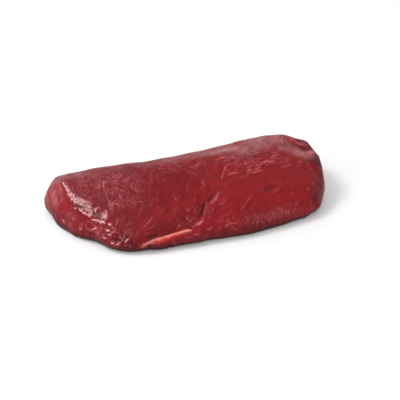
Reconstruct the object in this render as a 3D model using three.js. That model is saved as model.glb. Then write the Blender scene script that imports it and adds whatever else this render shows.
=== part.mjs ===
// A venison loin fillet, raw and trimmed, lying on its flat underside.
// Millimetres, +Z up, +X along the length. The origin is the bottom centre of the box.
// The form is a skin over a plan outline: a domed top field that falls to the front,
// steep rounded sides, an oblique cut at the left end, and relief laid on along the skin's normal.

import * as THREE from 'three';
import { mergeVertices } from 'three/addons/utils/BufferGeometryUtils.js';

// Plan outline at the widest level, anticlockwise from the left part of the front edge.
const OUTLINE = [
  [-61, -47.5], [-21, -49.5], [21.5, -52], [55.5, -50], [84, -45.5], [102, -40], [115, -26.5], [126.5, -3.5],
  [130.5, 15], [129, 33], [113.5, 44.5], [92, 51], [59, 52], [19, 49], [-21, 47.5], [-61, 49.5],
  [-96, 50.5], [-117, 46.5], [-129.5, 37], [-127, 20.5], [-119.5, 5], [-112.5, -10.5], [-101, -21.5],
  [-92, -33], [-79, -43],
];
// Where the outline changes from one side to the next, counted along its points.
const CORNER = { frontLeft: 24, frontRight: 5.5, backRight: 10, backLeft: 17.5 };

// Each side: level of the widest point, slope and bow of the wall, and how softly it meets the top.
const SIDE = {
  front: { level: 7.5, slope: 0.45, bow: 4.6, soft: 11 },
  right: { level: 11, slope: 1.3, bow: 4.0, soft: 8 },
  back: { level: 12, slope: 1.0, bow: 4.6, soft: 10 },
  left: { level: 10, slope: 1.1, bow: 4.6, soft: 3 },
};
const UNDERCUT = 5; // how far the wall draws in below its widest level
// The cut at the left end lies flatter and rounder towards its front corner.
const CUT = { fromY: -29, overY: 55, slopeLoss: 1.05, softGain: 4 };

// The domed top by stations along the length.
const STATION_X = [-131, -101, -61, -11, 39, 89, 131];
const CROWN_HEIGHT = [38.5, 38.5, 40.5, 40.5, 43.5, 41.5, 37];
const CROWN_Y = [28, 26, 22, 19, 20, 24, 22];
const FRONT_DROP = [32, 30, 24, 20, 18, 18, 20];
const BACK_DROP = [6, 6, 8, 8, 8, 8, 10];
const FRONT_SPAN = 65;
const BACK_SPAN = 40;
const FRONT_CURVE = 1.25;
const BACK_CURVE = 1.8;

// Relief lines as places on the skin. Depth is into the meat, and a ridge has a depth below zero.
// The flap is a strip cut part way off along the foot of the front, and its cut runs on up as the seam.
const FLAP_EDGE = [[-72, -48, 4], [-64, -47, 11], [-57, -46, 13], [-46, -46, 15], [-37, -45, 16]];
const SEAM = [[-23, -46, 16], [-16, -42, 20], [-9, -38, 23], [-1, -30, 27], [6, -25, 29], [14, -21, 31]];
const FLAP = { path: [...FLAP_EDGE, ...SEAM], back: 2.0, out: 0.9, across: 1.6, reach: 13 };
const GROOVES = [
  { path: SEAM, reach: 2.4, depth: 2.8 },
  { path: [[14, -35, 26], [7, -38, 24], [0, -40, 22], [-7, -44, 18]], reach: 2, depth: 1.2 },
  { path: [[30, 5, 39], [25, -2, 37], [20, -10, 35]], reach: 2.2, depth: 1.4 },
  { path: [[-81, 10, 36], [-80, 3, 33], [-80, -4, 31], [-81, -11, 28], [-83, -19, 23]], reach: 3.2, depth: 1.8 },
  { path: [[54, -26, 30], [58, -29, 29], [65, -27, 29]], reach: 2.8, depth: 1.1 },
  { path: [[97, 32, 41], [103, 24, 41], [110, 16, 39], [118, 8, 35]], reach: 4.6, depth: 3.2 },
  { path: [[100, 9, 39], [107, 5, 37], [113, 2, 35], [119, 2, 32]], reach: 3.2, depth: -1.3 },
  { path: [[110, -19, 29], [115, -23, 21], [117, -26, 12]], reach: 2.4, depth: 1.3 },
  { path: [[101, -31, 25], [106, -35, 17], [108, -37, 9]], reach: 2.4, depth: 1.1 },
];
const TAPER = 0.2; // share of a line's length over which it fades in and out

// Wide lumps over the whole skin, and small ones gathered at the front left corner.
const LUMP_HEIGHT = 0.7;
const LUMP_WAVES = [
  [0.11, 0.05, 0.02, 0.3], [-0.06, 0.13, 0.05, 1.9], [0.17, -0.10, 0.08, 4.1],
  [0.04, 0.21, -0.12, 2.6], [0.23, 0.12, 0.10, 5.2],
];
const WRINKLE_CENTRE = [-92, -32, 13];
const WRINKLE_REACH = 17;
const WRINKLE_HEIGHT = 0.8;
const WRINKLE_WAVES = [[0.62, 0.35, 0.2, 0.5], [-0.4, 0.66, 0.5, 2.2], [0.2, -0.5, 0.8, 3.7]];

// Grid over the plan and rings down the wall below the widest level.
const CELLS_X = 84;
const CELLS_Y = 38;
const WALL_RINGS = 4;
const CLOSE_ENDS = 0.10;
const CLOSE_SIDES = 0.32;

const MEAT_COLOUR = 0x8a2a32;

// Plan grid

function outlineAt(t) {
  const n = OUTLINE.length;
  const i = Math.floor(t);
  const f = t - i;
  const [p0, p1, p2, p3] = [-1, 0, 1, 2].map((k) => OUTLINE[(i + k + n) % n]);
  return [0, 1].map((axis) => {
    const bend = 2 * p0[axis] - 5 * p1[axis] + 4 * p2[axis] - p3[axis];
    const twist = -p0[axis] + 3 * p1[axis] - 3 * p2[axis] + p3[axis];
    return 0.5 * (2 * p1[axis] + (p2[axis] - p0[axis]) * f + bend * f * f + twist * f * f * f);
  });
}

// 0 to 1 in even steps in the middle, and closer together over a share at each end.
function spaced(count, share) {
  const total = 1 - share;
  const values = [];
  for (let k = 0; k <= count; k += 1) {
    const t = k / count;
    const fromEnd = Math.min(t, 1 - t);
    const grown = fromEnd < share ? (fromEnd * fromEnd) / (2 * share) : fromEnd - share / 2;
    values.push((t <= 0.5 ? grown : total - grown) / total);
  }
  return values;
}

// The four sides of the outline are joined across by a Coons patch.
function planGrid() {
  const across = spaced(CELLS_X, CLOSE_ENDS);
  const deep = spaced(CELLS_Y, CLOSE_SIDES);
  const between = (start, end, s) => outlineAt(start + (end - start) * s);
  const wrap = OUTLINE.length;
  const front = across.map((s) => between(CORNER.frontLeft, CORNER.frontRight + wrap, s));
  const back = across.map((s) => between(CORNER.backLeft, CORNER.backRight, s));
  const left = deep.map((s) => between(CORNER.frontLeft, CORNER.backLeft, s));
  const right = deep.map((s) => between(CORNER.frontRight, CORNER.backRight, s));
  return across.map((a, i) => deep.map((b, j) => [0, 1].map((axis) => {
    const ruled = (1 - b) * front[i][axis] + b * back[i][axis] + (1 - a) * left[j][axis] + a * right[j][axis];
    const near = (1 - b) * ((1 - a) * front[0][axis] + a * front[CELLS_X][axis]);
    const far = b * ((1 - a) * back[0][axis] + a * back[CELLS_X][axis]);
    return ruled - near - far;
  })));
}

// Rim of the plan: distance to it and the outward direction, as a mean over the near stretches

const RIM_STEP = 0.25;
const RIM = [];
for (let t = 0; t < OUTLINE.length; t += RIM_STEP) {
  RIM.push(outlineAt(t));
}

function rimField([x, y]) {
  let nearest = Infinity;
  let outX = 0;
  let outY = 0;
  RIM.forEach(([ax, ay], i) => {
    const [bx, by] = RIM[(i + 1) % RIM.length];
    const [dx, dy] = [bx - ax, by - ay];
    const s = THREE.MathUtils.clamp(((x - ax) * dx + (y - ay) * dy) / (dx * dx + dy * dy), 0, 1);
    const distance = Math.hypot(x - ax - s * dx, y - ay - s * dy);
    nearest = Math.min(nearest, distance);
    const weight = 1 / (distance + 2) ** 4;
    outX += weight * dy;
    outY -= weight * dx;
  });
  const length = Math.hypot(outX, outY);
  return { distance: nearest, outX: outX / length, outY: outY / length };
}

// Base form

// A smooth curve through values at the stations, with no overshoot.
function along(x, values) {
  const last = STATION_X.length - 1;
  const at = THREE.MathUtils.clamp(x, STATION_X[0], STATION_X[last]);
  let i = 0;
  while (i < last - 1 && at > STATION_X[i + 1]) {
    i += 1;
  }
  const span = STATION_X[i + 1] - STATION_X[i];
  const f = (at - STATION_X[i]) / span;
  const rise = values[i + 1] - values[i];
  const slopeAt = (k) => {
    if (k === 0 || k === last) {
      return 0;
    }
    const before = (values[k] - values[k - 1]) / (STATION_X[k] - STATION_X[k - 1]);
    const after = (values[k + 1] - values[k]) / (STATION_X[k + 1] - STATION_X[k]);
    return before * after > 0 ? (2 * before * after) / (before + after) : 0;
  };
  const [m0, m1] = [slopeAt(i) * span, slopeAt(i + 1) * span];
  return values[i] + m0 * f + (3 * rise - 2 * m0 - m1) * f * f + (m0 + m1 - 2 * rise) * f * f * f;
}

function topHeight([x, y]) {
  const crownY = along(x, CROWN_Y);
  const front = Math.max(0, (crownY - y) / FRONT_SPAN) ** FRONT_CURVE;
  const back = Math.max(0, (y - crownY) / BACK_SPAN) ** BACK_CURVE;
  return along(x, CROWN_HEIGHT) - along(x, FRONT_DROP) * front - along(x, BACK_DROP) * back;
}

function sideMix(rim) {
  const share = {
    front: Math.max(0, -rim.outY) ** 2,
    back: Math.max(0, rim.outY) ** 2,
    left: Math.max(0, -rim.outX) ** 2,
    right: Math.max(0, rim.outX) ** 2,
  };
  const mixed = (key) => Object.keys(SIDE).reduce((sum, name) => sum + share[name] * SIDE[name][key], 0);
  return { left: share.left, level: mixed('level'), slope: mixed('slope'), bow: mixed('bow'), soft: mixed('soft') };
}

function smoothMin(a, b, softness) {
  const h = THREE.MathUtils.clamp(0.5 + (0.5 * (b - a)) / softness, 0, 1);
  return b * (1 - h) + a * h - softness * h * (1 - h);
}

function skinPoint(plan, onRim) {
  const rim = rimField(plan);
  const mixed = sideMix(rim);
  if (onRim) {
    return [plan[0], plan[1], mixed.level];
  }
  const flatter = mixed.left * (1 - THREE.MathUtils.clamp((plan[1] - CUT.fromY) / CUT.overY, 0, 1));
  const slope = mixed.slope - CUT.slopeLoss * flatter;
  const soft = mixed.soft + CUT.softGain * flatter;
  const wall = mixed.level + slope * rim.distance + mixed.bow * Math.sqrt(rim.distance);
  return [plan[0], plan[1], Math.min(smoothMin(topHeight(plan), wall, soft), wall)];
}

// Relief

// Nearest place on a line over the skin, with the share of its length passed and the side it lies on.
function nearestOn(path, p, normal) {
  let best = { distance: Infinity };
  path.slice(1).forEach((end, i) => {
    const a = new THREE.Vector3(...path[i]);
    const run = new THREE.Vector3(...end).sub(a);
    const toPoint = p.clone().sub(a);
    const s = THREE.MathUtils.clamp(toPoint.dot(run) / run.lengthSq(), 0, 1);
    const off = toPoint.clone().addScaledVector(run, -s);
    if (off.length() < best.distance) {
      const side = Math.sign(new THREE.Vector3().crossVectors(normal, run).dot(off));
      best = { distance: off.length(), passed: (i + s) / (path.length - 1), side };
    }
  });
  return best;
}

function bell(distance, width) {
  return Math.exp(-((distance / width) ** 2));
}

function taper(passed) {
  const fromEnd = Math.min(passed, 1 - passed) / TAPER;
  return THREE.MathUtils.smoothstep(fromEnd, 0, 1);
}

function grooveRelief({ path, reach, depth }, p, normal) {
  const near = nearestOn(path, p, normal);
  return -depth * bell(near.distance, reach) * taper(near.passed);
}

// The skin lies back above the flap's edge and stands out below it.
function flapRelief({ path, back, out, across, reach }, p, normal) {
  const near = nearestOn(path, p, normal);
  const below = 0.5 - 0.5 * Math.tanh((near.side * near.distance) / across);
  const fade = 1 - THREE.MathUtils.smoothstep(near.distance, 0, reach);
  return (out * below - back * (1 - below)) * fade * taper(near.passed);
}

function waves(list, p) {
  return list.reduce((sum, [kx, ky, kz, shift]) => sum + Math.sin(kx * p.x + ky * p.y + kz * p.z + shift), 0)
    / list.length;
}

function relief(p, normal) {
  const wrinkled = bell(p.distanceTo(new THREE.Vector3(...WRINKLE_CENTRE)), WRINKLE_REACH);
  let height = LUMP_HEIGHT * waves(LUMP_WAVES, p) + WRINKLE_HEIGHT * wrinkled * waves(WRINKLE_WAVES, p);
  height += flapRelief(FLAP, p, normal);
  GROOVES.forEach((groove) => {
    height += grooveRelief(groove, p, normal);
  });
  return height;
}

// Closed body: the skin, the wall below it and a flat underside

function rimLoop() {
  const loop = [];
  for (let i = 0; i < CELLS_X; i += 1) loop.push([i, 0]);
  for (let j = 0; j < CELLS_Y; j += 1) loop.push([CELLS_X, j]);
  for (let i = CELLS_X; i > 0; i -= 1) loop.push([i, CELLS_Y]);
  for (let j = CELLS_Y; j > 0; j -= 1) loop.push([0, j]);
  return loop;
}

function bodyGeometry() {
  const rows = CELLS_Y + 1;
  const isRim = (i, j) => i === 0 || j === 0 || i === CELLS_X || j === CELLS_Y;
  const points = planGrid().flatMap((row, i) => row.map((plan, j) => skinPoint(plan, isRim(i, j))));
  const triangles = [];
  for (let i = 0; i < CELLS_X; i += 1) {
    for (let j = 0; j < CELLS_Y; j += 1) {
      const [a, b, c, d] = [i * rows + j, (i + 1) * rows + j, (i + 1) * rows + j + 1, i * rows + j + 1];
      triangles.push(a, b, c, a, c, d);
    }
  }
  let ring = rimLoop().map(([i, j]) => i * rows + j);
  const top = ring.map((index) => points[index]);
  for (let level = 1; level <= WALL_RINGS; level += 1) {
    const turn = ((level / WALL_RINGS) * Math.PI) / 2;
    const inset = UNDERCUT * (1 - Math.cos(turn));
    const first = points.length;
    top.forEach(([x, y, z], k) => {
      const before = top[(k + top.length - 1) % top.length];
      const after = top[(k + 1) % top.length];
      const [dx, dy] = [after[0] - before[0], after[1] - before[1]];
      const length = Math.hypot(dx, dy);
      points.push([x - (dy / length) * inset, y + (dx / length) * inset, z * (1 - Math.sin(turn))]);
    });
    ring.forEach((upper, k) => {
      const next = (k + 1) % ring.length;
      triangles.push(upper, first + k, first + next, upper, first + next, ring[next]);
    });
    ring = ring.map((unused, k) => first + k);
  }
  const foot = ring.map((index) => new THREE.Vector2(points[index][0], points[index][1]));
  THREE.ShapeUtils.triangulateShape(foot, []).forEach(([a, b, c]) => {
    triangles.push(ring[a], ring[c], ring[b]);
  });
  const geometry = new THREE.BufferGeometry();
  geometry.setAttribute('position', new THREE.Float32BufferAttribute(points.flat(), 3));
  geometry.setIndex(triangles);
  return geometry;
}

// Each point moves along the skin's normal, and the underside stays flat.
function layRelief(geometry) {
  geometry.computeVertexNormals();
  const position = geometry.getAttribute('position');
  const normals = geometry.getAttribute('normal');
  const moved = [];
  for (let k = 0; k < position.count; k += 1) {
    const p = new THREE.Vector3().fromBufferAttribute(position, k);
    const normal = new THREE.Vector3().fromBufferAttribute(normals, k);
    const onFoot = p.z < 0.001;
    const lifted = onFoot ? p : p.clone().addScaledVector(normal, relief(p, normal));
    moved.push(lifted.x, lifted.y, lifted.z);
  }
  geometry.setAttribute('position', new THREE.Float32BufferAttribute(moved, 3));
  geometry.deleteAttribute('normal');
  return mergeVertices(geometry);
}

function filletGeometry() {
  const geometry = layRelief(bodyGeometry());
  geometry.computeBoundingBox();
  const centre = geometry.boundingBox.getCenter(new THREE.Vector3());
  geometry.translate(-centre.x, -centre.y, 0);
  geometry.computeVertexNormals();
  return geometry;
}

function fillet() {
  const meat = new THREE.MeshStandardMaterial({ color: MEAT_COLOUR, roughness: 0.45, metalness: 0 });
  const mesh = new THREE.Mesh(filletGeometry(), meat);
  mesh.name = 'fillet';
  return mesh;
}

const part = new THREE.Group();
part.add(fillet());

export default part;
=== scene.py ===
import math

import bpy
import numpy as np
from mathutils import Matrix, Vector
from mathutils.kdtree import KDTree


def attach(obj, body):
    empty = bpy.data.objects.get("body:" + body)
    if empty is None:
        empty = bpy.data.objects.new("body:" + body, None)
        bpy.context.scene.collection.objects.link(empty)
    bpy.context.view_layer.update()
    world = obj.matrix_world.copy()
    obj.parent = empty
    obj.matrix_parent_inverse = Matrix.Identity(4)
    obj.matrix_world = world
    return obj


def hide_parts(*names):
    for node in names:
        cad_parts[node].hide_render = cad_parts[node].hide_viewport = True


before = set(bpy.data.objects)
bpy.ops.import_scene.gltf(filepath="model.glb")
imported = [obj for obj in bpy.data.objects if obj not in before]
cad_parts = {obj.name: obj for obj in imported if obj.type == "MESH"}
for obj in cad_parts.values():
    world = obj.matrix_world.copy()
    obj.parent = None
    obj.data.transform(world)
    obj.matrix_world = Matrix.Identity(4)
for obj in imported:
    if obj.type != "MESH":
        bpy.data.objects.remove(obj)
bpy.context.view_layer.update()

MM = 0.001

# The form's driving dimensions, in millimetres, as in the part's source but for the outline's left end, which
# follows the photograph more closely.
OUTLINE = [
    (-61, -47.5), (-21, -49.5), (21.5, -52), (55.5, -50), (84, -45.5), (102, -40), (115, -26.5),
    (126.5, -3.5), (130.5, 15), (129, 33), (113.5, 44.5), (92, 51), (59, 52), (19, 49), (-21, 47.5),
    (-61, 49.5), (-96, 50.5), (-117, 47), (-128, 40), (-124, 20.8), (-117.8, 2), (-112.5, -10.5),
    (-101, -21.5), (-92.6, -34.6), (-79, -43),
]

# Where the outline changes from one side to the next, counted along its points.
CORNER = {"front_left": 24, "front_right": 5.5, "back_right": 10, "back_left": 17.5}

# Each side: level of the widest point, slope and bow of the wall, and how softly it meets the top.
SIDES = ("front", "right", "back", "left")
LEVEL = dict(zip(SIDES, (7.5, 11, 12, 10)))
SLOPE = dict(zip(SIDES, (0.45, 1.3, 1.0, 1.1)))
BOW = dict(zip(SIDES, (4.6, 4.0, 4.6, 4.6)))
SOFT = dict(zip(SIDES, (11, 8, 10, 3)))

# How far the wall draws in below its widest level, and how it flattens towards the oblique cut.
UNDERCUT = 5.0
CUT_FROM_Y, CUT_OVER_Y, CUT_SLOPE_LOSS, CUT_SOFT_GAIN = -29, 55, 1.05, 4

# The crown at stations along the length, and the fall of the top in front and behind.
STATION_X = (-131, -101, -61, -11, 39, 89, 131)
CROWN_HEIGHT = (38.5, 38.5, 40.5, 40.5, 43.5, 41.5, 37)
CROWN_Y = (28, 26, 22, 19, 20, 24, 22)
FRONT_DROP = (32, 30, 24, 20, 18, 18, 20)
BACK_DROP = (6, 6, 8, 8, 8, 8, 10)
FRONT_SPAN, BACK_SPAN = 65, 40
FRONT_CURVE, BACK_CURVE = 1.25, 1.8

# The part's origin, in the outline's own millimetres.
ORIGIN = (0.77, -0.30)

# Grid over the plan, with closer cells over a share at each end, and rings down the wall.
CELLS_X, CELLS_Y, WALL_RINGS = 560, 150, 7
CLOSE_ENDS, CLOSE_SIDES = 0.10, 0.30

# Outline points between samples of the rim, and millimetres over which its directions blend.
RIM_STEP, RIM_BLEND = 0.25, 2

# The photograph's camera. Its aim is a place on the table, in millimetres.
PHOTO_SIZE = 400
FOCAL_PIXELS = 1181.0
CAMERA_TURN, CAMERA_PITCH, CAMERA_ROLL = math.radians(23.3), math.radians(34.54), math.radians(-3.15)
CAMERA_DISTANCE = 1076.6
CAMERA_AIM = np.array((9.5, 13.2, 0.0))

# Relief lines as places on the skin. The flap and the seam are narrower than in the part's source.
FLAP_EDGE = [(-69, -48.5, 7), (-63, -47.8, 11), (-56, -47, 13), (-47, -47, 14), (-36, -46.5, 15)]
SEAM = [(-24, -46.5, 15.5), (-16, -42, 20), (-9, -38, 23), (-1, -30, 27), (6, -25, 29), (14, -21, 31)]
FLAP = {"path": FLAP_EDGE + SEAM, "back": 1.7, "out": 1.0, "across": 0.9, "reach": 13}
TAPER = 0.2

# Wide lumps: each row is a wave's run in x, y and z and its start.
LUMP_HEIGHT = 0.7
LUMP_WAVES = [
    (0.11, 0.05, 0.02, 0.3), (-0.06, 0.13, 0.05, 1.9), (0.17, -0.10, 0.08, 4.1),
    (0.04, 0.21, -0.12, 2.6), (0.23, 0.12, 0.10, 5.2),
]

# Grooves: half width, depth and places. A ridge has a depth below 0.
GROOVES = [
    (1.1, 1.2, *SEAM),
    (1.3, 1.4, (30, 5, 39), (25, -2, 37), (20, -10, 35)),
    (2.4, 1.1, (54, -26, 30), (58, -29, 29), (65, -27, 29)),
    (3.6, 2.4, (97, 32, 41), (103, 24, 41), (110, 16, 39), (118, 8, 35)),
    (3.4, -1.0, (100, 9, 39), (107, 5, 37), (113, 2, 35), (119, 2, 32)),
    (3.5, 0.5, (110, -19, 29), (115, -23, 21), (117, -26, 12)),
    (3.5, 0.4, (101, -31, 25), (106, -35, 17), (108, -37, 9)),
]

# Stretches of fibre that show in the photograph, each as two pixels.
FIBRES_SEEN = [
    (90, 170, 130, 165), (150, 172, 185, 163), (225, 150, 270, 145), (57, 206, 58, 186), (74, 236, 70, 214),
    (108, 214, 107, 192), (125, 245, 140, 225), (140, 225, 160, 200), (153, 200, 153, 182),
    (188, 203, 192, 183), (186, 238, 203, 226), (245, 212, 252, 197), (232, 172, 262, 162),
    (290, 196, 290, 178), (262, 224, 264, 211), (318, 195, 318, 170),
]

# Below, a line through pixels is written x, y, x, y and so on, and reaches and widths are in millimetres.

# The bands of painted highlight along the ridge: half widths from end to end, and the middle line in pixels.
GLEAM_BANDS = [
    ((0.9, 1.9, 2.6, 3.2, 4.2, 4.8, 5.8, 5, 3), 64.2, 183, 67, 187.5, 70.3, 193, 73.5, 197.5, 78.5, 200.3,
     84, 203, 88, 206.3, 90.3, 210.5, 92, 215),
    ((1.1, 0.4, 1.2, 0.4, 1.1, 0.5, 1.5, 0.6, 1.4, 0.4, 1.2), 75.5, 208.3, 79.5, 208.3, 81.5, 210.7,
     84.5, 212.7, 88, 215, 92, 216.5),
    ((1.3, 2.9, 3.6, 2.5), 106.8, 211, 105.5, 215, 104.3, 219, 103, 222.3),
    ((1.2, 0.8, 1.7, 1.1, 2.2), 93.5, 219.6, 98, 220.8, 104, 222.3),
    ((0.8, 0.7), 99, 214.8, 98, 216.2),
    ((1.8, 0.9), 90.5, 213.8, 94.3, 215.5),
    ((0.9, 1.1, 0.7), 96, 210.8, 97.5, 209, 98.5, 206.5),
]

# Broad tints: reach, strength, and a line through the zone in pixels.
TINTS = {
    "bright": [
        (36, 1, 235, 190, 300, 190), (16, 0.9, 240, 166, 288, 162), (7, 0.7, 157, 210, 160, 214),
        (7, 0.6, 175, 204, 178, 211), (12, 0.7, 212, 212, 240, 215), (15, 0.4, 54, 195, 72, 224),
        (5, 0.5, 205, 187, 214, 182), (9, 0.3, 155, 228, 170, 215), (7, 1, 182, 234, 198, 232),
        (8, 1, 196, 222, 208, 226), (9, 1, 215, 226, 250, 220, 296, 208),
    ],
    "mauve": [
        (17, 1, 75, 180, 120, 178), (13, 1, 80, 194, 118, 198), (7, 0.6, 105, 212, 116, 224),
        (10, 0.2, 125, 215, 140, 225), (10, 0.5, 140, 175, 205, 166), (6, 0.5, 245, 219, 295, 212),
    ],
    # Maroon flesh, and painted shade along the foot, under the flap, down the right end and in the valley.
    "maroon_and_shade": [
        (7, 0.8, 316, 192, 318, 205), (5, 1, 312.5, 160, 316, 160, 320.5, 172, 322, 188),
        (8, 0.75, 118, 238, 134, 246), (8, 0.3, 141, 180, 146, 208), (10, 0.15, 178, 184, 195, 186),
        (4.5, 0.4, 157, 229, 185, 223), (3.2, 1, 149, 247, 170, 246.5), (2.8, 0.9, 155, 245, 168, 243.8),
        (4.5, 0.5, 230, 160, 247, 158), (8, 0.35, 104, 171.5, 152, 165.5), (3, 0.7, 178, 241, 200, 237),
        (4, 0.6, 206, 236.5, 236, 230, 262, 225.5, 288, 218), (3, 0.95, 200, 238.8, 209, 237.3),
        (3.2, 0.95, 226, 232.6, 240, 231), (2.6, 0.9, 258, 226.8, 267, 224.4),
        (2.4, 0.9, 284, 219.8, 290, 218.2), (3, 0.2, 105, 190, 111, 207), (3, 0.6, 96, 211, 101, 217),
        (5, 0.4, 88, 232, 102, 239), (9, 0.3, 56, 207, 68, 222), (4, 0.3, 110, 208, 116, 214),
        (3.6, 1.2, 301, 147.3, 311, 149.5), (7, 0.3, 128, 222, 140, 238),
    ],
    "crimson": [
        (3.2, 1, 291, 141.5, 297, 143.5, 303, 145.2, 309, 148), (2.4, 0.9, 209, 207, 213, 203),
        (1.4, 0.6, 147, 226, 153, 219), (1.6, 0.7, 108, 212, 110, 220), (3, 0.5, 190, 231, 198, 228),
        (6, 0.35, 210, 218, 220, 220), (6, 0.25, 85, 232, 112, 241), (4, 0.4, 178, 236, 198, 232),
        (2, 0.5, 320, 175, 321, 179), (2.5, 0.6, 311, 151.5, 316, 156), (2, 1, 112, 246.5, 117.5, 246),
        (7, 0.25, 205, 215, 222, 196),
    ],
    "vivid": [
        (2.6, 1, 159, 241.5, 166, 239, 177, 234.8), (7, 0.25, 51, 186, 58, 204),
        (2.2, 0.25, 216.5, 168, 217, 172), (2.5, 0.15, 219, 180, 224, 185), (4, 0.3, 63, 188, 67, 210),
        (8, 0.14, 225, 219, 290, 210), (10, 0.14, 284, 199, 310, 202), (5, 0.16, 170, 235, 200, 234),
        (2, 0.5, 141.5, 246, 145, 246),
    ],
    # Painted sheen, a pale pink-grey reflection, mostly along the back edge and the top rim, on the left face
    # and on the pale band below the dent.
    "painted_sheen": [
        (8, 0.9, 228, 149.5, 246, 150, 262, 144, 280, 139), (6, 0.45, 52, 182, 56, 200),
        (3, 0.4, 59, 184, 62, 198), (6, 1.1, 50, 183, 60, 177.5, 78, 174), (5, 0.6, 292, 149.5, 300, 152),
        (4.6, 1.4, 299, 152.8, 310, 155), (4.8, 0.5, 214, 151.5, 236, 151.5),
        (5, 0.8, 281, 147, 293, 149.5), (6, 0.25, 60, 178.5, 108, 168.5), (4, 0.5, 47, 190, 48.5, 203),
        (7, 0.33, 163, 160, 180, 157, 215, 149), (6, 1, 250, 141, 282, 140), (5, 0.12, 250, 219, 295, 211),
        (9, 0.05, 196, 225, 222, 198), (1.6, 0.8, 287, 137, 294, 139.5, 300, 142),
        (2, 0.12, 110, 203, 113, 214),
    ],
    "salmon": [(2, 0.9, 145, 245.5, 150, 243.3, 162, 238.5)],
    "tan": [
        (3.5, 1, 97, 218, 103, 214), (3.5, 0.7, 79, 200, 88, 208),
    ],
    "mottle": [
        (14, 1, 88, 182, 130, 186), (7, 0.8, 112, 203, 138, 203), (5, 0.6, 90, 228, 102, 232),
        (7, 0.3, 72, 218, 92, 230), (5, 1, 282, 139, 291, 145), (8, 0.2, 120, 215, 140, 235),
        (5, 0.4, 50, 190, 54, 204), (4, 1, 97, 213, 102, 218),
    ],
    "wet": [
        (4, 0.6, 66, 185, 74, 199, 84, 208, 96, 217, 106, 221), (10, 0.6, 52, 205, 66, 222),
        (8, 0.8, 95, 230, 125, 243), (6, 0.5, 222, 178, 240, 173), (4, 0.5, 143, 245, 160, 238, 190, 230),
    ],
}
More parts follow.
